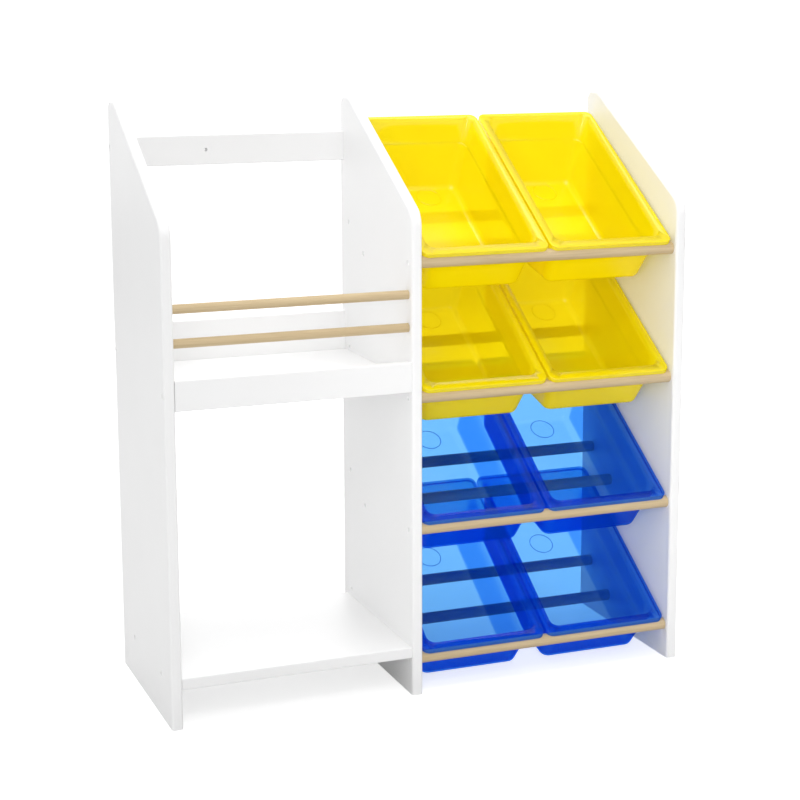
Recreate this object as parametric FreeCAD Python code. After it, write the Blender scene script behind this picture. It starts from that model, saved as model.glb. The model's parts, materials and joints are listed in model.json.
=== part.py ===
"""Toy storage organizer: three white panels, a book and toy bay, and eight tilted bins on rods.

X runs across the front from left to right, Y from front to back and Z up. The origin is on the
floor, in the middle of the panels' footprint. All sizes are in millimetres.
"""
import FreeCAD, Part
import math
import os

V = FreeCAD.Vector

# Panels
PANEL_HEIGHT = 800.0
PANEL_DEPTH = 277.0
PANEL_THICKNESS = 15.0
PANEL_TOP_DEPTH = 31.0      # level stretch at the top, behind the slant
SLANT_ANGLE = 30.0
KNEE_RADIUS = 30.0          # where the upright front turns into the slant
SLANT_TOP_RADIUS = 20.0
TOP_BACK_RADIUS = 15.0
PANEL_EDGE_RADIUS = 4.0
LEFT_BAY_WIDTH = 320.0
RIGHT_BAY_WIDTH = 378.0

# Boards of the left bay
BOARD_THICKNESS = 15.0
BOARD_EDGE_RADIUS = 1.5
TOP_RAIL_DROP = 50.0        # from the panels' top to the rail's top
TOP_RAIL_HEIGHT = 41.0
TRAY_HEIGHT = 421.0         # underside of the tray
TRAY_RAIL_HEIGHT = 71.0
FASCIA_HEIGHT = 40.0
FASCIA_SETBACK = 1.0
SHELF_HEIGHT = 53.0         # underside of the bottom shelf
SHELF_SETBACK = 2.0
SHELF_DEPTH = 262.0
FIXING_HOLE_RADIUS = 2.5
FIXING_HOLE_INSET = 118.0   # from the left end of the top rail

# Thin rods that hold books up against the top rail
BOOK_ROD_RADIUS = 6.1
BOOK_ROD_INSET = 14.5
BOOK_ROD_RISE = 45.3        # lower rod's axis above the tray's fascia
BOOK_ROD_SPACING = 44.0

# Thick rods that carry the bins
BIN_ROD_RADIUS = 8.25
BIN_ROD_INSET = 14.7
TIER_COUNT = 4
TIER_PITCH = 181.4
FLOOR_GAP = 1.9             # below the lowest bins
LOWER_REST = 137.4          # along the bin's slope, from the front rod to the lower rear rod
UPPER_REST = 207.8

# Sockets, screws and pins
SOCKET_DEPTH = 6.0
SOCKET_CLEARANCE = 0.05
SCREW_HEAD_RADIUS = 3.5
SCREW_HEAD_DEPTH = 2.6
SCREW_RADIUS = 2.0
SCREW_LENGTH = 40.0
SCREW_RECESS = 0.3
SCREW_CLEARANCE = 0.05
KEY_RADIUS = 1.7            # six-sided recess in the screw's head
KEY_DEPTH = 1.6
RAIL_SCREW_DROP = 13.0      # from the top rail's top to its screws
SHELF_SCREW_INSETS = (53.5, 205.0)
PIN_RADIUS = 3.5
PIN_IN_PANEL = 9.0
PIN_IN_BOARD = 20.0
PIN_SPACING = 12.0          # from a screw to the pin beside it
FLOOR_PIN_INSET = 50.0      # from each edge of the tray's floor
SHELF_PIN_INSET = 130.0

# Bins, in their own tilted frame with the front rod's axis as origin
BIN_TILT = 33.0
BIN_SIDE_GAP = 3.3          # between bins and beside them
BIN_LENGTH = 304.6
BIN_DEPTH = 103.0           # from the rim's underside to the floor's underside
BIN_WALL = 2.2
RIM_WIDTH = 9.2
RIM_THICKNESS = 2.5
RIM_CORNER_RADIUS = 11.0
RIM_OVERHANG = 3.0          # beyond the front rod's axis
RIM_EDGE_RADIUS = 1.0
SKIRT_DROP = 3.5            # down-turned edge of the rim; it rests on the front rod
SKIRT_THICKNESS = 2.2
FRONT_WALL_CLEARANCE = 0.5
SEAT_CLEARANCE = 0.3
WALL_CORNER_RADIUS = 14.0
FLOOR_EDGE_RADIUS = 11.0
RAMP_BEND_RADIUS = 60.0
FRONT_DRAFT = 4.5
BACK_DRAFT = 14.0
SIDE_DRAFT = 5.2
SHOULDER_DROP = 34.5        # step in the walls, below the rim
SHOULDER_STEP = 1.8
RAMP_RISE = 25.3            # sloping foot of the front wall
RAMP_RUN = 65.7

SAME_PLACE = 0.01           # two places nearer than this are one

# Worked out from the sizes above
FRONT = -PANEL_DEPTH / 2
BACK = PANEL_DEPTH / 2
TOTAL_WIDTH = LEFT_BAY_WIDTH + RIGHT_BAY_WIDTH + 3 * PANEL_THICKNESS
LEFT_PANEL_X = -TOTAL_WIDTH / 2
LEFT_BAY_X = LEFT_PANEL_X + PANEL_THICKNESS
LEFT_BAY_END = LEFT_BAY_X + LEFT_BAY_WIDTH
MIDDLE_PANEL_X = LEFT_BAY_END
RIGHT_BAY_X = MIDDLE_PANEL_X + PANEL_THICKNESS
RIGHT_PANEL_X = RIGHT_BAY_X + RIGHT_BAY_WIDTH
RIGHT_FACE_X = RIGHT_PANEL_X + PANEL_THICKNESS
BOARD_BACK_FRONT = BACK - BOARD_THICKNESS
TOP_RAIL_Z = PANEL_HEIGHT - TOP_RAIL_DROP - TOP_RAIL_HEIGHT
FASCIA_Y = FRONT + FASCIA_SETBACK
TRAY_FLOOR_Y = FASCIA_Y + BOARD_THICKNESS
BIN_WIDTH = (RIGHT_BAY_WIDTH - 3 * BIN_SIDE_GAP) / 2

SKIRT_LEVEL = BIN_ROD_RADIUS + SEAT_CLEARANCE
RIM_UNDERSIDE = SKIRT_LEVEL + SKIRT_DROP
RIM_TOP = RIM_UNDERSIDE + RIM_THICKNESS
FLOOR_UNDERSIDE = RIM_UNDERSIDE - BIN_DEPTH
REAR_ROD_LEVEL = FLOOR_UNDERSIDE - SEAT_CLEARANCE - BIN_ROD_RADIUS
SHOULDER_LEVEL = RIM_UNDERSIDE - SHOULDER_DROP
KNEE_LEVEL = FLOOR_UNDERSIDE + RAMP_RISE
RIM_FRONT = -RIM_OVERHANG
RIM_BACK = RIM_FRONT + BIN_LENGTH
FRONT_WALL = BIN_ROD_RADIUS + FRONT_WALL_CLEARANCE


def sloped(along, above):
    """Y and Z offsets from the front rod for a place in a bin's tilted frame."""
    tilt = math.radians(BIN_TILT)
    return (along * math.cos(tilt) - above * math.sin(tilt),
            along * math.sin(tilt) + above * math.cos(tilt))


# Panels, boards and rods

def rounded_outline(corners, radii):
    """Closed wire through the corners, each rounded to its radius; 0 leaves it sharp."""
    count = len(corners)
    bends = []
    for i, corner in enumerate(corners):
        to_last = corners[i - 1] - corner
        to_next = corners[(i + 1) % count] - corner
        to_last = to_last * (1 / to_last.Length)
        to_next = to_next * (1 / to_next.Length)
        half_angle = to_last.getAngle(to_next) / 2
        reach = radii[i] / math.tan(half_angle)
        middle = to_last + to_next
        middle = middle * (1 / middle.Length)
        crown = middle * (radii[i] / math.sin(half_angle) - radii[i])
        bends.append((corner + to_last * reach, corner + crown, corner + to_next * reach))
    edges = []
    for i, (start, crown, end) in enumerate(bends):
        if radii[i] > 0:
            edges.append(Part.Arc(start, crown, end).toShape())
        edges.append(Part.LineSegment(end, bends[(i + 1) % count][0]).toShape())
    return Part.Wire(edges)


def make_panel(x):
    """One upright panel with its slanted front, its edges rounded except along the floor."""
    slant_run = PANEL_DEPTH - PANEL_TOP_DEPTH
    knee = PANEL_HEIGHT - slant_run * math.tan(math.radians(SLANT_ANGLE))
    corners = [V(x, FRONT, 0), V(x, FRONT, knee), V(x, FRONT + slant_run, PANEL_HEIGHT),
               V(x, BACK, PANEL_HEIGHT), V(x, BACK, 0)]
    radii = [0, KNEE_RADIUS, SLANT_TOP_RADIUS, TOP_BACK_RADIUS, 0]
    panel = Part.Face(rounded_outline(corners, radii)).extrude(V(PANEL_THICKNESS, 0, 0))
    rim = [edge for edge in panel.Edges
           if edge.BoundBox.XLength < PANEL_EDGE_RADIUS and edge.BoundBox.ZMax > PANEL_EDGE_RADIUS]
    return panel.makeFillet(PANEL_EDGE_RADIUS, rim)


def make_board(y, z, depth, height):
    """A board across the left bay, with its long edges eased."""
    board = Part.makeBox(LEFT_BAY_WIDTH, depth, height, V(LEFT_BAY_X, y, z))
    long_edges = [edge for edge in board.Edges if edge.BoundBox.XLength > BOARD_EDGE_RADIUS]
    long_edges = [edge for edge in long_edges
                  if edge.BoundBox.YLength + edge.BoundBox.ZLength < BOARD_EDGE_RADIUS]
    return board.makeFillet(BOARD_EDGE_RADIUS, long_edges)


def make_rod(x, bay_width, place, radius):
    """A rod across a bay, with both ends in the panels' sockets."""
    length = bay_width + 2 * SOCKET_DEPTH
    return Part.makeCylinder(radius, length, V(x - SOCKET_DEPTH, *place), V(1, 0, 0))


# Fasteners, driven along +X (way 1) or -X (way -1) from the face at x

def make_screw(x, place, way):
    """Countersunk screw with a six-sided recess in its head."""
    inward = V(way, 0, 0)
    start = V(x, *place) + inward * SCREW_RECESS
    head = Part.makeCone(SCREW_HEAD_RADIUS, SCREW_RADIUS, SCREW_HEAD_DEPTH, start, inward)
    shank = Part.makeCylinder(SCREW_RADIUS, SCREW_LENGTH - SCREW_HEAD_DEPTH,
                              start + inward * SCREW_HEAD_DEPTH, inward)
    rim = []
    for i in range(6):
        angle = math.radians(60 * i)
        rim.append(start + V(0, KEY_RADIUS * math.cos(angle), KEY_RADIUS * math.sin(angle)))
    recess = Part.Face(Part.makePolygon(rim + rim[:1])).extrude(inward * KEY_DEPTH)
    return head.fuse(shank).cut(recess)


def screw_hole(x, place, way):
    """The room that a screw takes, from the panel's face inwards."""
    inward = V(way, 0, 0)
    face = V(x, *place)
    start = face + inward * SCREW_RECESS
    head_radius = SCREW_HEAD_RADIUS + SCREW_CLEARANCE
    shank_radius = SCREW_RADIUS + SCREW_CLEARANCE
    mouth = Part.makeCylinder(head_radius, SCREW_RECESS, face, inward)
    seat = Part.makeCone(head_radius, shank_radius, SCREW_HEAD_DEPTH, start, inward)
    shank = Part.makeCylinder(shank_radius, SCREW_LENGTH + SCREW_CLEARANCE, start, inward)
    return mouth.fuse([seat, shank])


def make_pin(x, place, way, clearance=0.0):
    """Wooden pin across the joint at x, from the panel into the board's end."""
    inward = V(way, 0, 0)
    start = V(x, *place) - inward * (PIN_IN_PANEL + clearance)
    length = PIN_IN_PANEL + PIN_IN_BOARD + 2 * clearance
    return Part.makeCylinder(PIN_RADIUS + clearance, length, start, inward)


def socket(x, place, radius, way):
    """Blind socket for a rod's end, from the bay's side of a panel."""
    return Part.makeCylinder(radius + SOCKET_CLEARANCE, SOCKET_DEPTH, V(x, *place), V(way, 0, 0))


# Bins

def wall_places(level, inset):
    """Front, back and side wall faces at a level of the bin, moved inwards by inset."""
    below = RIM_UNDERSIDE - level
    front = FRONT_WALL - level * math.tan(math.radians(FRONT_DRAFT))
    back = RIM_BACK - RIM_WIDTH - below * math.tan(math.radians(BACK_DRAFT))
    side = BIN_WIDTH / 2 - RIM_WIDTH - below * math.tan(math.radians(SIDE_DRAFT))
    return front + inset, back - inset, side - inset


def plan_wire(level, front, back, side, radius):
    """Rounded rectangle in a bin's plan at one level."""
    corners = [V(-side, front, level), V(side, front, level),
               V(side, back, level), V(-side, back, level)]
    return rounded_outline(corners, [radius] * 4)


def bin_form(inset, top):
    """The bin's closed outer form, or its inside where inset is the wall's thickness."""
    radius = WALL_CORNER_RADIUS - inset
    shoulder = SHOULDER_LEVEL + inset
    floor = FLOOR_UNDERSIDE + inset
    upper = Part.makeLoft([plan_wire(top, *wall_places(top, inset), radius),
                           plan_wire(shoulder, *wall_places(shoulder, inset), radius)], True, True)
    step = inset + SHOULDER_STEP
    lower = Part.makeLoft([plan_wire(shoulder, *wall_places(shoulder, step), radius),
                           plan_wire(floor, *wall_places(floor, step), radius)], True, True)
    form = upper.fuse(lower).cut(ramp_wedge(inset))
    bend = [edge for edge in form.Edges if is_bend(edge, floor)]
    form = form.makeFillet(RAMP_BEND_RADIUS, bend)
    low_edges = [edge for edge in form.Edges if is_floor_edge(edge, floor, inset)]
    return form.makeFillet(FLOOR_EDGE_RADIUS - inset, low_edges)


def knee_place():
    """Where the front wall meets its sloping foot."""
    return wall_places(KNEE_LEVEL, SHOULDER_STEP)[0]


def ramp_wedge(inset):
    """What the sloping foot takes away from under the front of the bin."""
    knee = knee_place()
    rise = math.atan2(RAMP_RISE, RAMP_RUN)
    lift = V(0, math.sin(rise), math.cos(rise)) * inset
    along = V(0, math.cos(rise), -math.sin(rise))
    start = V(-BIN_WIDTH, knee, KNEE_LEVEL) + lift
    high = start - along * BIN_DEPTH
    low = start + along * 2 * RAMP_RUN
    down = V(0, 0, -BIN_DEPTH)
    outline = Part.makePolygon([high, low, low + down, high + down, high])
    return Part.Face(outline).extrude(V(2 * BIN_WIDTH, 0, 0))


def is_bend(edge, floor):
    """True for the edge across the bin where the sloping foot meets the floor."""
    box = edge.BoundBox
    bend_limit = knee_place() + 2 * RAMP_RUN
    across = box.XLength > BIN_WIDTH / 2 and box.YLength < BIN_WALL
    return across and abs(box.ZMax - floor) < SAME_PLACE and box.YMax < bend_limit


def is_floor_edge(edge, floor, inset):
    """True for the edges round the floor and the sloping foot, to be rounded."""
    box = edge.BoundBox
    foot_top = KNEE_LEVEL + inset + WALL_CORNER_RADIUS
    if box.ZMax > foot_top:
        return False
    middle = edge.valueAt((edge.FirstParameter + edge.LastParameter) / 2)
    front, back, side = wall_places(middle.z, inset + SHOULDER_STEP)
    inside = abs(middle.x) < side - WALL_CORNER_RADIUS
    between = front + WALL_CORNER_RADIUS < middle.y < back - WALL_CORNER_RADIUS
    return not (inside and between)


def make_skirt():
    """The rim's down-turned edge."""
    half = BIN_WIDTH / 2
    outer = plan_wire(SKIRT_LEVEL, RIM_FRONT, RIM_BACK, half, RIM_CORNER_RADIUS)
    inner = plan_wire(SKIRT_LEVEL, RIM_FRONT + SKIRT_THICKNESS, RIM_BACK - SKIRT_THICKNESS,
                      half - SKIRT_THICKNESS, RIM_CORNER_RADIUS - SKIRT_THICKNESS)
    drop = V(0, 0, SKIRT_DROP)
    return Part.Face(outer).extrude(drop).cut(Part.Face(inner).extrude(drop))


def make_bin():
    """One bin in its own frame, with a rim that rests on the front rod."""
    half = BIN_WIDTH / 2
    rim = Part.Face(plan_wire(RIM_UNDERSIDE, RIM_FRONT, RIM_BACK, half, RIM_CORNER_RADIUS))
    rim = rim.extrude(V(0, 0, RIM_THICKNESS))
    top_edges = [edge for edge in rim.Edges if abs(edge.BoundBox.ZMin - RIM_TOP) < SAME_PLACE]
    rim = rim.makeFillet(RIM_EDGE_RADIUS, top_edges)
    outside = bin_form(0.0, RIM_UNDERSIDE).fuse([rim, make_skirt()])
    shell = outside.cut(bin_form(BIN_WALL, RIM_TOP + RIM_THICKNESS)).removeSplitter()
    shell.rotate(V(0, 0, 0), V(1, 0, 0), BIN_TILT)
    return shell


# Places shared by panels, boards, rods and fasteners

def tier_rods(tier):
    """Places of a tier's rods as (Y, Z); tier 1 is the top one."""
    lowest = sloped(knee_place(), KNEE_LEVEL)[1]
    height = FLOOR_GAP - lowest + (TIER_COUNT - tier) * TIER_PITCH
    front = (FRONT + BIN_ROD_INSET, height)
    rods = {"front_rod": front}
    for name, along in (("lower_rear_rod", LOWER_REST), ("upper_rear_rod", UPPER_REST)):
        y, z = sloped(along, REAR_ROD_LEVEL)
        rods[name] = (front[0] + y, front[1] + z)
    return rods


def board_pieces():
    """The five boards across the left bay."""
    top_rail = make_board(BOARD_BACK_FRONT, TOP_RAIL_Z, BOARD_THICKNESS, TOP_RAIL_HEIGHT)
    fixing_place = V(LEFT_BAY_X + FIXING_HOLE_INSET, BOARD_BACK_FRONT, TOP_RAIL_Z + TOP_RAIL_HEIGHT / 2)
    fixing_hole = Part.makeCylinder(FIXING_HOLE_RADIUS, BOARD_THICKNESS, fixing_place, V(0, 1, 0))
    floor_depth = BOARD_BACK_FRONT - TRAY_FLOOR_Y
    return {
        "top_back_rail": top_rail.cut(fixing_hole),
        "tray_back_rail": make_board(BOARD_BACK_FRONT, TRAY_HEIGHT, BOARD_THICKNESS, TRAY_RAIL_HEIGHT),
        "tray_front_fascia": make_board(FASCIA_Y, TRAY_HEIGHT, BOARD_THICKNESS, FASCIA_HEIGHT),
        "tray_floor": make_board(TRAY_FLOOR_Y, TRAY_HEIGHT, floor_depth, BOARD_THICKNESS),
        "bottom_shelf": make_board(FRONT + SHELF_SETBACK, SHELF_HEIGHT, SHELF_DEPTH, BOARD_THICKNESS),
    }


def board_fastener_places():
    """Places of the screws and of the pins in the boards' ends, as (Y, Z)."""
    back_y = BACK - BOARD_THICKNESS / 2
    front_y = FASCIA_Y + BOARD_THICKNESS / 2
    rail_screw_z = TOP_RAIL_Z + TOP_RAIL_HEIGHT - RAIL_SCREW_DROP
    tray_screw_z = TRAY_HEIGHT + TRAY_RAIL_HEIGHT / 2
    fascia_screw_z = TRAY_HEIGHT + FASCIA_HEIGHT / 2
    shelf_z = SHELF_HEIGHT + BOARD_THICKNESS / 2
    floor_z = TRAY_HEIGHT + BOARD_THICKNESS / 2
    screws = [(back_y, rail_screw_z), (back_y, tray_screw_z), (front_y, fascia_screw_z)]
    screws += [(FRONT + inset, shelf_z) for inset in SHELF_SCREW_INSETS]
    pins = [
        (back_y, rail_screw_z - PIN_SPACING),
        (back_y, tray_screw_z + PIN_SPACING),
        (back_y, tray_screw_z - PIN_SPACING),
        (front_y, fascia_screw_z - PIN_SPACING),
        (TRAY_FLOOR_Y + FLOOR_PIN_INSET, floor_z),
        (BOARD_BACK_FRONT - FLOOR_PIN_INSET, floor_z),
        (FRONT + SHELF_PIN_INSET, shelf_z),
    ]
    return screws, pins


def book_rod_places():
    """Places of the two thin rods, as (Y, Z)."""
    height = TRAY_HEIGHT + FASCIA_HEIGHT + BOOK_ROD_RISE
    return {
        "lower_book_rod": (FRONT + BOOK_ROD_INSET, height),
        "upper_book_rod": (FRONT + BOOK_ROD_INSET, height + BOOK_ROD_SPACING),
    }


def bin_rod_places():
    """Places of the twelve thick rods, as (Y, Z)."""
    places = {}
    for tier in range(1, TIER_COUNT + 1):
        for name, place in tier_rods(tier).items():
            places["tier_%d_%s" % (tier, name)] = place
    return places


def carcass(screws, pins, book_rods, bin_rods):
    """Panels, boards and rods, with the holes for all that joins them."""
    board_rooms = [screw_hole(LEFT_PANEL_X, place, 1) for place in screws]
    board_rooms += [screw_hole(RIGHT_BAY_X, place, -1) for place in screws]
    board_rooms += [make_pin(LEFT_BAY_X, place, 1, SOCKET_CLEARANCE) for place in pins]
    board_rooms += [make_pin(LEFT_BAY_END, place, -1, SOCKET_CLEARANCE) for place in pins]
    panel_rooms = list(board_rooms)
    for place in book_rods.values():
        panel_rooms += [socket(LEFT_BAY_X, place, BOOK_ROD_RADIUS, -1),
                        socket(LEFT_BAY_END, place, BOOK_ROD_RADIUS, 1)]
    for place in bin_rods.values():
        panel_rooms += rod_screw_holes(place)
        panel_rooms += [socket(RIGHT_BAY_X, place, BIN_ROD_RADIUS, -1),
                        socket(RIGHT_PANEL_X, place, BIN_ROD_RADIUS, 1)]
    pieces = {
        "left_side_panel": make_panel(LEFT_PANEL_X).cut(near(panel_rooms, LEFT_PANEL_X)),
        "middle_panel": make_panel(MIDDLE_PANEL_X).cut(near(panel_rooms, MIDDLE_PANEL_X)),
        "right_side_panel": make_panel(RIGHT_PANEL_X).cut(near(panel_rooms, RIGHT_PANEL_X)),
    }
    for name, board in board_pieces().items():
        pieces[name] = board.cut([room for room in board_rooms if meets(room, board)])
    for name, place in book_rods.items():
        pieces[name] = make_rod(LEFT_BAY_X, LEFT_BAY_WIDTH, place, BOOK_ROD_RADIUS)
    for name, place in bin_rods.items():
        rod = make_rod(RIGHT_BAY_X, RIGHT_BAY_WIDTH, place, BIN_ROD_RADIUS)
        pieces[name] = rod.cut(rod_screw_holes(place))
    return pieces


def rod_screw_holes(place):
    """The rooms of the two screws that hold a thick rod."""
    return [screw_hole(MIDDLE_PANEL_X, place, 1), screw_hole(RIGHT_FACE_X, place, -1)]


def bin_pieces():
    """Two bins on each tier, all from one shape."""
    empty_bin = make_bin()
    left_x = RIGHT_BAY_X + BIN_SIDE_GAP + BIN_WIDTH / 2
    right_x = left_x + BIN_SIDE_GAP + BIN_WIDTH
    pieces = {}
    for tier in range(1, TIER_COUNT + 1):
        front_rod = tier_rods(tier)["front_rod"]
        pieces["tier_%d_left_bin" % tier] = empty_bin.translated(V(left_x, *front_rod))
        pieces["tier_%d_right_bin" % tier] = empty_bin.translated(V(right_x, *front_rod))
    return pieces


def build():
    """All pieces by name."""
    screws, pins = board_fastener_places()
    bin_rods = bin_rod_places()
    rod_places = bin_rods.values()
    pieces = carcass(screws, pins, book_rod_places(), bin_rods)
    pieces.update(bin_pieces())
    groups = {
        "left_panel_screws": [make_screw(LEFT_PANEL_X, place, 1) for place in screws],
        "middle_panel_board_screws": [make_screw(RIGHT_BAY_X, place, -1) for place in screws],
        "middle_panel_rod_screws": [make_screw(MIDDLE_PANEL_X, place, 1) for place in rod_places],
        "right_panel_screws": [make_screw(RIGHT_FACE_X, place, -1) for place in rod_places],
        "left_panel_pins": [make_pin(LEFT_BAY_X, place, 1) for place in pins],
        "middle_panel_pins": [make_pin(LEFT_BAY_END, place, -1) for place in pins],
    }
    for name, solids in groups.items():
        pieces[name] = Part.makeCompound(solids)
    return pieces


def meets(room, piece):
    """True where the room of a fastener reaches a piece's box."""
    return room.BoundBox.intersect(piece.BoundBox)


def near(rooms, x):
    """The rooms that reach the panel whose left face is at x."""
    return [room for room in rooms
            if room.BoundBox.XMax > x and room.BoundBox.XMin < x + PANEL_THICKNESS]


os.makedirs("parts", exist_ok=True)
for node, shape in build().items():
    shape.exportStep("parts/%s.step" % node)
    box = shape.BoundBox
    print("%-28s %3d solids %10.1f mm3 valid %s x %.1f..%.1f y %.1f..%.1f z %.1f..%.1f" % (
        node, len(shape.Solids), shape.Volume, shape.isValid(),
        box.XMin, box.XMax, box.YMin, box.YMax, box.ZMin, box.ZMax))
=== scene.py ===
"""Looks of a toy storage organizer: white boards, wooden rods and tinted bins that lift out.

Everything is in metres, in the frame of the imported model: X runs across the front, Y from front
to back and Z up, with the origin on the floor in the middle of the panels' footprint.
"""

import json
import math

import bmesh
import bpy
from mathutils import Matrix, Vector


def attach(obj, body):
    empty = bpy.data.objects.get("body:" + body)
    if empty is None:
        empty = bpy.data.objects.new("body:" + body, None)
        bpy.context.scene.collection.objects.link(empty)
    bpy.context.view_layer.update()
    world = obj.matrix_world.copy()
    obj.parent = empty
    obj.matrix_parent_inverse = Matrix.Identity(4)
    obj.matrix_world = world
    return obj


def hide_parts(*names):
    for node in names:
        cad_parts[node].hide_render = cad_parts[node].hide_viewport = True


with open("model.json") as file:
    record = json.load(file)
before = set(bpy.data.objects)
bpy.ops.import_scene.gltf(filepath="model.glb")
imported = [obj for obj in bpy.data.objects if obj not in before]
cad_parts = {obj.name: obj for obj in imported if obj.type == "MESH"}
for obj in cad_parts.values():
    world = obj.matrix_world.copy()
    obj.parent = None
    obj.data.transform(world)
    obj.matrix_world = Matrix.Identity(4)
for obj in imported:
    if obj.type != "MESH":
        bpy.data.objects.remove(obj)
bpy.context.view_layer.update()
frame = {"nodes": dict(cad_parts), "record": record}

# Camera, solved for the photograph's frame of 800 by 800, with its angles in degrees
PICTURE_SIDE = 800
FOCAL_PIXELS = 1821.6
SENSOR_MM = 36.0
CAMERA_SHIFT = -0.08
CAMERA_PLACE = (-0.9055, -2.3262, 0.9168)
CAMERA_YAW = 21.278
CAMERA_PITCH = 10.102
CAMERA_ROLL = -0.199

# Surroundings: the camera sees the sky brighter than it lights, and a floor that glows
SKY_COLOUR = (1.0, 1.0, 1.0, 1.0)
SKY_LIGHT = 0.77
SKY_SEEN = 1.45
FLOOR_HALF = 30.0
FLOOR_COLOUR = (0.75, 0.75, 0.75, 1.0)
FLOOR_SEEN_GLOW = 0.8
VIEW_DEPTH = 4 * FLOOR_HALF

SOFTBOXES = {
    # name: (place, aim, width, height, power in watts, spread in degrees)
    "key_softbox": ((-1.0, -2.5, 2.85), (0.0, 0.0, 0.4), 0.7, 0.7, 15.0, 180.0),
    "top_softbox": ((0.2, -0.2, 3.2), (0.0, 0.0, 0.4), 2.0, 2.0, 30.0, 180.0),
    "left_softbox": ((-4.0, -0.4, 1.2), (0.0, 0.0, 0.4), 2.4, 2.4, 7.0, 180.0),
    "bay_softbox": ((-0.9, -1.7, 0.8), (0.36, -0.05, 0.37), 0.6, 0.6, 0.5, 34.0),
    "back_softbox": ((0.2, 2.6, 1.3), (0.0, 0.0, 0.3), 3.0, 2.0, 30.0, 180.0),
}

# The values that a noise mostly keeps to
NOISE_SPAN = {"From Min": 0.3, "From Max": 0.7}

# Paint, wood and steel: pairs of tones that each surface wanders between
PAINT_TONES = ((0.895, 0.895, 0.895, 1.0), (0.915, 0.915, 0.915, 1.0))
WOOD_BANDS = ((0.55, 0.42, 0.245, 1.0), (0.65, 0.51, 0.31, 1.0))
WOOD_FIBRES = (0.43, 0.31, 0.16, 1.0)
FIBRE_SHARE = 0.4
STEEL_TONES = ((0.045, 0.042, 0.04, 1.0), (0.09, 0.085, 0.08, 1.0))

# Plastic: its two body tones, its tint met squarely and at a slant, and how much light it lets by
YELLOW_PLASTIC = {
    "thick": (1.0, 0.83, 0.0, 1.0),
    "thin": (1.0, 0.88, 0.0, 1.0),
    "square_tint": (1.0, 0.94, 0.14, 1.0),
    "slant_tint": (1.0, 0.90, 0.02, 1.0),
    "clear": 0.42,
}
BLUE_PLASTIC = {
    "thick": (0.0, 0.10, 0.78, 1.0),
    "thin": (0.0, 0.13, 0.88, 1.0),
    "square_tint": (0.43, 0.75, 0.99, 1.0),
    "slant_tint": (0.01, 0.34, 0.92, 1.0),
    "clear": 0.76,
}
SQUARE_FACING = 0.3
SLANT_FACING = 0.75
PLASTIC_IOR = 1.8
# Painted glow: the plastic gives off a faint light of its own, in place of light scattered inside its walls
PAINTED_GLOW = 0.045
SCATTER_SHARE = 0.7
UNTINTED = (1.0, 1.0, 1.0, 1.0)

# Meshes: corners nearer than this are one, and edges turned more than this, in degrees, stay sharp
WELD_DISTANCE = 1e-5
EDGE_ANGLE = 32.0

# Mould ring on a bin's floor, in the bin's frame on the front rod's axis, tilted by so many degrees
BIN_TILT = 33.0
BIN_FLOOR_LEVEL = -0.08875
RING_ALONG = 0.242
RING_ACROSS = 0.022
RING_RADIUS = 0.018
RING_WIRE = 0.00055
RING_STEPS = 64
RING_SIDES = 8

# Screws; half of the key's length sinks into the head
SCREW_SIDES = 32
KEY_SIDES = 6
SCREW_SIZES = {
    "Head Radius": 0.0035,
    "Head Depth": 0.0026,
    "Shank Radius": 0.0020,
    "Shank Length": 0.0400,
    "Key Radius": 0.0017,
    "Key Length": 0.0032,
}

# A Mix node's sockets for colours go by number, because their names repeat
MIX_SHARE = 0
MIX_FIRST = 6
MIX_SECOND = 7
MIX_RESULT = 2


# Nodes of materials and of geometry

def new_node(tree, kind, settings=None, values=None):
    """A node with its settings and the values of its open inputs."""
    made = tree.nodes.new(kind)
    for name, value in (settings or {}).items():
        setattr(made, name, value)
    for name, value in (values or {}).items():
        made.inputs[name].default_value = value
    return made


def join(tree, start, end):
    """A link between two sockets, each given as (node, socket name or number)."""
    tree.links.new(start[0].outputs[start[1]], end[0].inputs[end[1]])


def feed(tree, source, socket):
    """A link into a socket, or a plain value on it."""
    if isinstance(source, bpy.types.NodeSocket):
        tree.links.new(source, socket)
    else:
        socket.default_value = source


def calculate(tree, operation, first, second):
    """The result of a math step on two sockets or numbers."""
    made = new_node(tree, "ShaderNodeMath", {"operation": operation})
    feed(tree, first, made.inputs[0])
    feed(tree, second, made.inputs[1])
    return made.outputs[0]


def blend_colours(tree, mask, first, second):
    """A mix of two colours by a mask."""
    mix = new_node(tree, "ShaderNodeMix", {"data_type": "RGBA"})
    feed(tree, mask, mix.inputs[MIX_SHARE])
    feed(tree, first, mix.inputs[MIX_FIRST])
    feed(tree, second, mix.inputs[MIX_SECOND])
    return mix.outputs[MIX_RESULT]


# Shared effects

def new_group(name, inputs, outputs):
    """A shader node group with named sockets, and its two end nodes."""
    group = bpy.data.node_groups.new(name, "ShaderNodeTree")
    group.interface.new_socket("Vector", in_out="INPUT", socket_type="NodeSocketVector")
    for label, value in inputs.items():
        group.interface.new_socket(label, in_out="INPUT", socket_type="NodeSocketFloat").default_value = value
    for label in outputs:
        group.interface.new_socket(label, in_out="OUTPUT", socket_type="NodeSocketFloat")
    return group, new_node(group, "NodeGroupInput"), new_node(group, "NodeGroupOutput")


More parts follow.
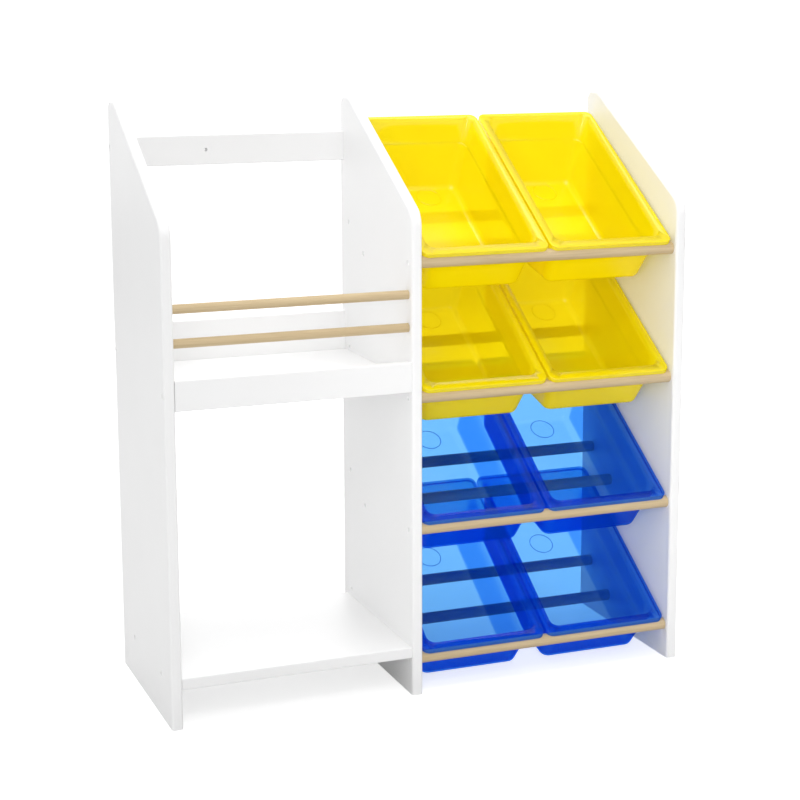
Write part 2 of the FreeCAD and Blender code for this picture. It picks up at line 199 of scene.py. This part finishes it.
def mottle_group():
    """Faint unevenness of a moulded or painted face: a tone, a roughness and a fine relief."""
    group, start, end = new_group(
        "mottled surface",
        {"Cloud Scale": 6.0, "Grain Scale": 700.0, "Smoothest": 0.3, "Roughest": 0.45},
        ("Tone", "Roughness", "Height"))
    cloud = new_node(group, "ShaderNodeTexNoise", values={"Detail": 3.0, "Roughness": 0.55})
    grain = new_node(group, "ShaderNodeTexNoise", values={"Detail": 2.0, "Roughness": 0.5})
    tone = new_node(group, "ShaderNodeMapRange", values=NOISE_SPAN)
    rough = new_node(group, "ShaderNodeMapRange", values=NOISE_SPAN)
    for noise, scale in ((cloud, "Cloud Scale"), (grain, "Grain Scale")):
        join(group, (start, "Vector"), (noise, "Vector"))
        join(group, (start, scale), (noise, "Scale"))
    join(group, (cloud, "Fac"), (tone, "Value"))
    join(group, (grain, "Fac"), (rough, "Value"))
    join(group, (start, "Smoothest"), (rough, "To Min"))
    join(group, (start, "Roughest"), (rough, "To Max"))
    join(group, (tone, "Result"), (end, "Tone"))
    join(group, (rough, "Result"), (end, "Roughness"))
    join(group, (grain, "Fac"), (end, "Height"))
    return group


def grain_group():
    """Wood grain along X: a band tone, fine fibre streaks, a roughness and a relief."""
    group, start, end = new_group(
        "wood grain",
        {"Band Scale": 60.0, "Fibre Scale": 420.0, "Stretch": 0.03},
        ("Bands", "Fibres", "Roughness", "Height"))
    along = new_node(group, "ShaderNodeCombineXYZ", values={"Y": 1.0, "Z": 1.0})
    stretched = new_node(group, "ShaderNodeVectorMath", {"operation": "MULTIPLY"})
    bands = new_node(group, "ShaderNodeTexNoise", values={"Detail": 3.0, "Distortion": 0.4})
    fibres = new_node(group, "ShaderNodeTexNoise", values={"Detail": 4.0, "Roughness": 0.6})
    spread = new_node(group, "ShaderNodeMapRange", values=NOISE_SPAN)
    streaks = new_node(group, "ShaderNodeMapRange", values={"From Min": 0.42, "From Max": 0.75})
    rough = new_node(group, "ShaderNodeMapRange", values={"To Min": 0.5, "To Max": 0.68})
    join(group, (start, "Stretch"), (along, "X"))
    join(group, (start, "Vector"), (stretched, 0))
    join(group, (along, "Vector"), (stretched, 1))
    for noise, scale in ((bands, "Band Scale"), (fibres, "Fibre Scale")):
        join(group, (stretched, "Vector"), (noise, "Vector"))
        join(group, (start, scale), (noise, "Scale"))
    join(group, (bands, "Fac"), (spread, "Value"))
    join(group, (fibres, "Fac"), (streaks, "Value"))
    join(group, (fibres, "Fac"), (rough, "Value"))
    join(group, (spread, "Result"), (end, "Bands"))
    join(group, (streaks, "Result"), (end, "Fibres"))
    join(group, (rough, "Result"), (end, "Roughness"))
    join(group, (fibres, "Fac"), (end, "Height"))
    return group


MOTTLE = mottle_group()
GRAIN = grain_group()


# Materials

def new_material(name):
    """An empty material with its output node."""
    made = bpy.data.materials.new(name)
    made.use_nodes = True
    made.node_tree.nodes.clear()
    return made, made.node_tree, new_node(made.node_tree, "ShaderNodeOutputMaterial")


def surface_group(tree, group, values):
    """The group in a material, fed with the piece's own coordinates."""
    place = new_node(tree, "ShaderNodeTexCoord")
    made = new_node(tree, "ShaderNodeGroup", {"node_tree": group}, values)
    join(tree, (place, "Object"), (made, "Vector"))
    return made


def coat(tree, shader, surface, colour, strength, depth):
    """The surface's colour, roughness and relief on a shader."""
    feed(tree, colour, shader.inputs["Base Color"])
    join(tree, (surface, "Roughness"), (shader, "Roughness"))
    bump = new_node(tree, "ShaderNodeBump", values={"Strength": strength, "Distance": depth})
    join(tree, (surface, "Height"), (bump, "Height"))
    join(tree, (bump, "Normal"), (shader, "Normal"))


def white_paint():
    """Satin white paint, rolled on, with a faint orange-peel relief."""
    made, tree, out = new_material("satin white paint")
    surface = surface_group(tree, MOTTLE, {"Cloud Scale": 5.0, "Grain Scale": 650.0,
                                           "Smoothest": 0.36, "Roughest": 0.5})
    paint = new_node(tree, "ShaderNodeBsdfPrincipled", values={"IOR": 1.45})
    tone = blend_colours(tree, surface.outputs["Tone"], *PAINT_TONES)
    coat(tree, paint, surface, tone, strength=0.08, depth=0.0004)
    join(tree, (paint, "BSDF"), (out, "Surface"))
    return made


def bare_wood():
    """Bare sanded wood with its grain along the rods."""
    made, tree, out = new_material("bare sanded wood")
    surface = surface_group(tree, GRAIN, {"Band Scale": 70.0, "Fibre Scale": 480.0, "Stretch": 0.035})
    wood = new_node(tree, "ShaderNodeBsdfPrincipled", values={"IOR": 1.4})
    bands = blend_colours(tree, surface.outputs["Bands"], *WOOD_BANDS)
    streaks = calculate(tree, "MULTIPLY", surface.outputs["Fibres"], FIBRE_SHARE)
    tone = blend_colours(tree, streaks, bands, WOOD_FIBRES)
    coat(tree, wood, surface, tone, strength=0.25, depth=0.0003)
    join(tree, (wood, "BSDF"), (out, "Surface"))
    return made


def tinted_plastic(name, thick, thin, square_tint, slant_tint, clear):
    """Moulded see-through plastic, glossy outside, with a faint painted glow, whose tint deepens where the
    wall is met at a slant.
    """
    made, tree, out = new_material(name)
    surface = surface_group(tree, MOTTLE, {"Cloud Scale": 9.0, "Grain Scale": 260.0,
                                           "Smoothest": 0.16, "Roughest": 0.24})
    # The emission is a painted glow in the thin body tone, not a lamp
    body = new_node(tree, "ShaderNodeBsdfPrincipled", values={
        "IOR": PLASTIC_IOR, "Emission Color": thin, "Emission Strength": PAINTED_GLOW})
    tone = blend_colours(tree, surface.outputs["Tone"], thick, thin)
    coat(tree, body, surface, tone, strength=0.05, depth=0.0003)
    slant = new_node(tree, "ShaderNodeLayerWeight", values={"Blend": 0.5})
    depth = new_node(tree, "ShaderNodeMapRange", values={"From Min": SQUARE_FACING, "From Max": SLANT_FACING})
    join(tree, (slant, "Facing"), (depth, "Value"))
    tint = blend_colours(tree, depth.outputs["Result"], square_tint, slant_tint)
    # Light on its way to another face is scattered in the wall, and takes less of the tint
    path = new_node(tree, "ShaderNodeLightPath")
    onward = calculate(tree, "MAXIMUM", path.outputs["Is Shadow Ray"], path.outputs["Is Diffuse Ray"])
    scattered = calculate(tree, "MULTIPLY", onward, SCATTER_SHARE)
    passing = new_node(tree, "ShaderNodeBsdfTransparent")
    feed(tree, blend_colours(tree, scattered, tint, UNTINTED), passing.inputs["Color"])
    mix = new_node(tree, "ShaderNodeMixShader", values={"Fac": clear})
    join(tree, (body, "BSDF"), (mix, 1))
    join(tree, (passing, "BSDF"), (mix, 2))
    join(tree, (mix, "Shader"), (out, "Surface"))
    return made


def plated_steel():
    """Dark plated steel of the screws."""
    made, tree, out = new_material("plated steel")
    surface = surface_group(tree, MOTTLE, {"Cloud Scale": 300.0, "Grain Scale": 2500.0,
                                           "Smoothest": 0.28, "Roughest": 0.5})
    steel = new_node(tree, "ShaderNodeBsdfPrincipled", values={"Metallic": 1.0})
    tone = blend_colours(tree, surface.outputs["Tone"], *STEEL_TONES)
    coat(tree, steel, surface, tone, strength=0.1, depth=0.0001)
    join(tree, (steel, "BSDF"), (out, "Surface"))
    return made


def pale_floor():
    """Matt pale floor that looks white to the camera and lights nothing."""
    made, tree, out = new_material("pale floor")
    surface = surface_group(tree, MOTTLE, {"Cloud Scale": 0.5, "Grain Scale": 90.0,
                                           "Smoothest": 0.8, "Roughest": 0.9})
    floor = new_node(tree, "ShaderNodeBsdfPrincipled", values={
        "Base Color": FLOOR_COLOUR, "Emission Color": FLOOR_COLOUR, "IOR": 1.2})
    path = new_node(tree, "ShaderNodeLightPath")
    glow = calculate(tree, "MULTIPLY", path.outputs["Is Camera Ray"], FLOOR_SEEN_GLOW)
    feed(tree, glow, floor.inputs["Emission Strength"])
    join(tree, (surface, "Roughness"), (floor, "Roughness"))
    join(tree, (floor, "BSDF"), (out, "Surface"))
    return made


FINISHES = {
    "white_board": white_paint(),
    "natural_wood": bare_wood(),
    "yellow_plastic": tinted_plastic("yellow moulded plastic", **YELLOW_PLASTIC),
    "blue_plastic": tinted_plastic("blue moulded plastic", **BLUE_PLASTIC),
    "screw_steel": plated_steel(),
}
SLOTS = {part["node"]: part["material_slot"] for part in frame["record"]["subparts"]}
BODY_OF = {name: body for body, names in frame["record"]["behaviour"]["bodies"].items() for name in names}


# Pieces

def new_object(name, data):
    """A new object in the scene."""
    made = bpy.data.objects.new(name, data)
    bpy.context.scene.collection.objects.link(made)
    return made


def new_piece(mesh, name):
    """An object for a node's new mesh, smooth over its rounded edges."""
    mesh.name = "dressed_" + name
    mesh.polygons.foreach_set("use_smooth", [True] * len(mesh.polygons))
    mesh.set_sharp_from_angle(angle=math.radians(EDGE_ANGLE))
    return new_object(mesh.name, mesh)


def stand_in(piece, name):
    """The piece rides on the same body as the CAD node that it replaces, and the node is hidden."""
    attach(piece, BODY_OF[name])
    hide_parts(name)


def welded_shape(name):
    """A node's faces, joined where they meet."""
    shape = bmesh.new()
    shape.from_mesh(frame["nodes"][name].data)
    bmesh.ops.remove_doubles(shape, verts=shape.verts, dist=WELD_DISTANCE)
    return shape


def middle_of(name):
    """The middle of a node's box, halfway between opposite corners."""
    box = frame["nodes"][name].bound_box
    return (Vector(box[0]) + Vector(box[6])) / 2


def add_mould_ring(shape, name):
    """The fine raised ring that the mould leaves on a bin's floor."""
    tier = name[:len("tier_1")]
    rod = middle_of(tier + "_front_rod")
    start = Vector((middle_of(name).x, rod.y, rod.z))
    turn = Matrix.Rotation(math.radians(BIN_TILT), 3, "X")
    rows = []
    for step in range(RING_STEPS):
        round_angle = math.tau * step / RING_STEPS
        row = []
        for side in range(RING_SIDES):
            wire_angle = math.tau * side / RING_SIDES
            reach = RING_RADIUS + RING_WIRE * math.cos(wire_angle)
            place = Vector((RING_ACROSS + reach * math.cos(round_angle),
                            RING_ALONG + reach * math.sin(round_angle),
                            BIN_FLOOR_LEVEL + RING_WIRE * math.sin(wire_angle)))
            row.append(shape.verts.new(start + turn @ place))
        rows.append(row)
    for step, row in enumerate(rows):
        following = rows[(step + 1) % RING_STEPS]
        for side in range(RING_SIDES):
            beside = (side + 1) % RING_SIDES
            shape.faces.new((row[side], following[side], following[beside], row[beside]))


def dress(name):
    """A welded copy of a board, rod, pin or bin in its own finish."""
    mesh = frame["nodes"][name].data.copy()
    shape = welded_shape(name)
    if name.endswith("_bin"):
        add_mould_ring(shape, name)
    shape.to_mesh(mesh)
    shape.free()
    mesh.materials.clear()
    mesh.materials.append(FINISHES[SLOTS[name]])
    piece = new_piece(mesh, name)
    weights = piece.modifiers.new("flat faces stay flat", "WEIGHTED_NORMAL")
    weights.keep_sharp = True
    stand_in(piece, name)


def solids_of(shape):
    """The corners of a shape, in one list for each solid in it."""
    seen = set()
    solids = []
    for corner in shape.verts:
        if corner in seen:
            continue
        seen.add(corner)
        solid, edge = [], [corner]
        while edge:
            vert = edge.pop()
            solid.append(vert)
            beside = {link.other_vert(vert) for link in vert.link_edges} - seen
            seen |= beside
            edge += beside
        solids.append(solid)
    return solids


def screw_heads(name):
    """The middles of a node's screw heads, and the way that the screws point along X."""
    shape = welded_shape(name)
    places = []
    for screw in solids_of(shape):
        lowest = Vector([min(vert.co[i] for vert in screw) for i in range(3)])
        highest = Vector([max(vert.co[i] for vert in screw) for i in range(3)])
        middle = (lowest + highest) / 2
        widest = max(screw, key=lambda vert: (vert.co - middle).yz.length)
        way = 1.0 if widest.co.x < middle.x else -1.0
        places.append((lowest.x if way > 0 else highest.x, middle.y, middle.z))
    shape.free()
    return places, way


def screw_tree():
    """Geometry nodes that set a countersunk screw with a six-sided recess on every point."""
    tree = bpy.data.node_groups.new("driven screws", "GeometryNodeTree")
    tree.interface.new_socket("Geometry", in_out="OUTPUT", socket_type="NodeSocketGeometry")
    tree.interface.new_socket("Geometry", in_out="INPUT", socket_type="NodeSocketGeometry")
    for label, value in SCREW_SIZES.items():
        tree.interface.new_socket(label, in_out="INPUT", socket_type="NodeSocketFloat").default_value = value
    tree.interface.new_socket("Turn", in_out="INPUT", socket_type="NodeSocketVector")
    tree.interface.new_socket("Finish", in_out="INPUT", socket_type="NodeSocketMaterial")
    start, end = new_node(tree, "NodeGroupInput"), new_node(tree, "NodeGroupOutput")
    head = new_node(tree, "GeometryNodeMeshCone", values={"Vertices": SCREW_SIDES})
    shank = new_node(tree, "GeometryNodeMeshCylinder", values={"Vertices": SCREW_SIDES})
    key = new_node(tree, "GeometryNodeMeshCylinder", values={"Vertices": KEY_SIDES})
    sizes = (
        (head, {"Radius Top": "Shank Radius", "Radius Bottom": "Head Radius", "Depth": "Head Depth"}),
        (shank, {"Radius": "Shank Radius", "Depth": "Shank Length"}),
        (key, {"Radius": "Key Radius", "Depth": "Key Length"}))
    for part, labels in sizes:
        for size, label in labels.items():
            join(tree, (start, label), (part, size))
    lift = new_node(tree, "ShaderNodeCombineXYZ")
    raised = new_node(tree, "GeometryNodeTransform")
    whole = new_node(tree, "GeometryNodeMeshBoolean", {"operation": "UNION"})
    cut = new_node(tree, "GeometryNodeMeshBoolean", {"operation": "DIFFERENCE"})
    spread = new_node(tree, "GeometryNodeInstanceOnPoints")
    solid = new_node(tree, "GeometryNodeRealizeInstances")
    finish = new_node(tree, "GeometryNodeSetMaterial")
    feed(tree, calculate(tree, "MULTIPLY", start.outputs["Shank Length"], 0.5), lift.inputs["Z"])
    join(tree, (lift, "Vector"), (raised, "Translation"))
    join(tree, (shank, "Mesh"), (raised, "Geometry"))
    join(tree, (head, "Mesh"), (whole, "Mesh 2"))
    join(tree, (raised, "Geometry"), (whole, "Mesh 2"))
    join(tree, (whole, "Mesh"), (cut, "Mesh 1"))
    join(tree, (key, "Mesh"), (cut, "Mesh 2"))
    join(tree, (start, "Geometry"), (spread, "Points"))
    join(tree, (cut, "Mesh"), (spread, "Instance"))
    join(tree, (start, "Turn"), (spread, "Rotation"))
    join(tree, (spread, "Instances"), (solid, "Geometry"))
    join(tree, (solid, "Geometry"), (finish, "Geometry"))
    join(tree, (start, "Finish"), (finish, "Material"))
    join(tree, (finish, "Geometry"), (end, "Geometry"))
    return tree


SCREWS = screw_tree()


def drive_screws(name):
    """The screws of one node, each at its CAD place."""
    places, way = screw_heads(name)
    points = bpy.data.meshes.new("points")
    points.from_pydata(places, [], [])
    holder = new_object("points", points)
    maker = holder.modifiers.new("driven screws", "NODES")
    maker.node_group = SCREWS
    values = {"Turn": (0.0, way * math.pi / 2, 0.0), "Finish": FINISHES[SLOTS[name]]}
    for item in SCREWS.interface.items_tree:
        if item.in_out == "INPUT" and item.name in values:
            maker[item.identifier] = values[item.name]
    ready = holder.evaluated_get(bpy.context.evaluated_depsgraph_get())
    mesh = bpy.data.meshes.new_from_object(ready)
    bpy.data.objects.remove(holder)
    stand_in(new_piece(mesh, name), name)


# Stage, light and camera

def make_floor():
    """Wide floor, level with the panels' feet."""
    mesh = bpy.data.meshes.new("floor")
    corners = [(-FLOOR_HALF, -FLOOR_HALF, 0), (FLOOR_HALF, -FLOOR_HALF, 0),
               (FLOOR_HALF, FLOOR_HALF, 0), (-FLOOR_HALF, FLOOR_HALF, 0)]
    mesh.from_pydata(corners, [], [(0, 1, 2, 3)])
    mesh.materials.append(pale_floor())
    new_object("floor", mesh)


def make_sky():
    """Even white surroundings."""
    world = bpy.data.worlds.new("white studio")
    bpy.context.scene.world = world
    world.use_nodes = True
    tree = world.node_tree
    tree.nodes.clear()
    light = new_node(tree, "ShaderNodeBackground", values={"Color": SKY_COLOUR, "Strength": SKY_LIGHT})
    seen = new_node(tree, "ShaderNodeBackground", values={"Color": SKY_COLOUR, "Strength": SKY_SEEN})
    path = new_node(tree, "ShaderNodeLightPath")
    mix = new_node(tree, "ShaderNodeMixShader")
    out = new_node(tree, "ShaderNodeOutputWorld")
    join(tree, (path, "Is Camera Ray"), (mix, 0))
    join(tree, (light, "Background"), (mix, 1))
    join(tree, (seen, "Background"), (mix, 2))
    join(tree, (mix, "Shader"), (out, "Surface"))


def make_softbox(name, place, aim, width, height, power, spread):
    """A rectangular area light that faces its aim."""
    light = bpy.data.lights.new(name, "AREA")
    light.shape = "RECTANGLE"
    light.size = width
    light.size_y = height
    light.energy = power
    light.spread = math.radians(spread)
    lamp = new_object(name, light)
    lamp.location = place
    lamp.rotation_euler = (Vector(aim) - Vector(place)).to_track_quat("-Z", "Y").to_euler()


def make_camera():
    """The camera at the photograph's viewing angle."""
    yaw, pitch, roll = (math.radians(angle) for angle in (CAMERA_YAW, CAMERA_PITCH, CAMERA_ROLL))
    ahead = Vector((math.sin(yaw) * math.cos(pitch), math.cos(yaw) * math.cos(pitch), -math.sin(pitch)))
    level = Vector((math.cos(yaw), -math.sin(yaw), 0.0))
    upright = level.cross(ahead)
    right = level * math.cos(roll) + upright * math.sin(roll)
    up = upright * math.cos(roll) - level * math.sin(roll)
    turn = Matrix((right, up, -ahead)).transposed()
    lens = bpy.data.cameras.new("camera")
    lens.sensor_width = SENSOR_MM
    lens.lens = SENSOR_MM * FOCAL_PIXELS / PICTURE_SIDE
    lens.shift_y = CAMERA_SHIFT
    lens.clip_end = VIEW_DEPTH
    camera = new_object("camera", lens)
    camera.matrix_world = Matrix.Translation(CAMERA_PLACE) @ turn.to_4x4()
    bpy.context.scene.camera = camera


bpy.context.scene.view_settings.view_transform = "Standard"
make_camera()
make_sky()
for lamp_name, lamp in SOFTBOXES.items():
    make_softbox(lamp_name, *lamp)
make_floor()
for node_name in SLOTS:
    if node_name.endswith("screws"):
        drive_screws(node_name)
    else:
        dress(node_name)
